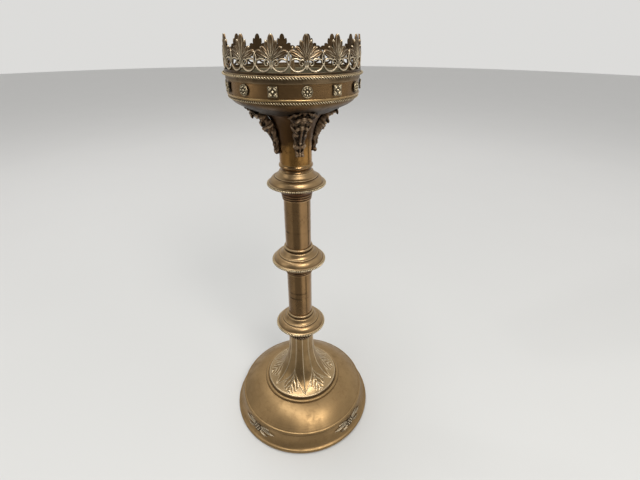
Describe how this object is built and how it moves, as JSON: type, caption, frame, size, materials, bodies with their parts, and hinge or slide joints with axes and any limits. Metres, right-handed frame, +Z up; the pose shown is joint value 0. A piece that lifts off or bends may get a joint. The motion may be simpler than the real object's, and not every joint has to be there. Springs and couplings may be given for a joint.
{
  "type": "altar candlestick",
  "caption": "Tall brass altar candlestick with a domed foot, leaf trumpet, knopped stem and a drum-shaped candle pan ringed by a pierced palmette crown.",
  "frame": {"origin": "centre of the foot on the floor", "axes": "+Z up along the stem, -Y towards the front"},
  "size_m": [0.1754, 0.1754, 0.44],
  "materials": {
    "foot_brass": "aged satin brass",
    "stem_brass": "aged brass, softly polished, with vertical reflections",
    "knop_brass": "satin tan brass, turned",
    "trim_brass": "worn bright brass with dark recesses",
    "crown_brass": "cast brass, pale worn ribs and dark recesses with traces of verdigris",
    "pan_brass": "dark brown to golden lacquered brass",
    "dark_bronze": "nearly black, oxidised cast brass",
    "steel": "plain steel, dull"
  },
  "bodies": {
    "stand": {"base_dish": "foot_brass", "base_collar": "foot_brass", "front_right_foot_mount": "trim_brass", "back_right_foot_mount": "trim_brass", "back_left_foot_mount": "trim_brass", "front_left_foot_mount": "trim_brass", "leaf_trumpet": "foot_brass", "trumpet_rope_collar": "dark_bronze", "lower_knop_dish": "knop_brass", "lower_knop_cap": "knop_brass", "lower_knop_milled_ring": "trim_brass", "middle_knop_dish": "knop_brass", "middle_knop_cap": "knop_brass", "middle_knop_milled_ring": "trim_brass", "upper_knop_dish": "knop_brass", "upper_knop_cap": "knop_brass", "upper_knop_milled_ring": "trim_brass", "lower_tube": "stem_brass", "upper_tube": "stem_brass", "neck_ring": "stem_brass", "capital": "stem_brass", "front_bracket": "dark_bronze", "right_bracket": "dark_bronze", "back_bracket": "dark_bronze", "left_bracket": "dark_bronze", "pan": "pan_brass", "pan_lip": "pan_brass", "pan_bead_ring": "trim_brass", "lower_rope_ring": "trim_brass", "upper_rope_ring": "trim_brass", "crown_gallery": "crown_brass", "round_rosette_1": "crown_brass", "round_rosette_2": "crown_brass", "round_rosette_3": "crown_brass", "round_rosette_4": "crown_brass", "round_rosette_5": "crown_brass", "round_rosette_6": "crown_brass", "round_rosette_7": "crown_brass", "square_rosette_1": "crown_brass", "square_rosette_2": "crown_brass", "square_rosette_3": "crown_brass", "square_rosette_4": "crown_brass", "square_rosette_5": "crown_brass", "square_rosette_6": "crown_brass", "square_rosette_7": "crown_brass", "rosette_studs": "dark_bronze", "tie_rod": "steel", "clamp_plate": "steel", "tie_washer": "steel", "tie_nut": "steel"},
    "turning_washer": {"pricket_washer": "trim_brass"},
    "pricket": {"pricket": "trim_brass"}
  },
  "joints": [
    {"name": "pricket_turn", "type": "hinge", "parent": "stand", "child": "turning_washer", "pos_m": [0, 0, 0.383], "axis": [0, 0, 1], "range_deg": [0, 2880]},
    {"name": "pricket_rise", "type": "slide", "parent": "turning_washer", "child": "pricket", "axis": [0, 0, 1], "range_m": [0, 0.01]}
  ],
  "couplings": [
    {"joint": "pricket_rise", "follows": "pricket_turn", "m_per_rad": 0.00019894}
  ]
}
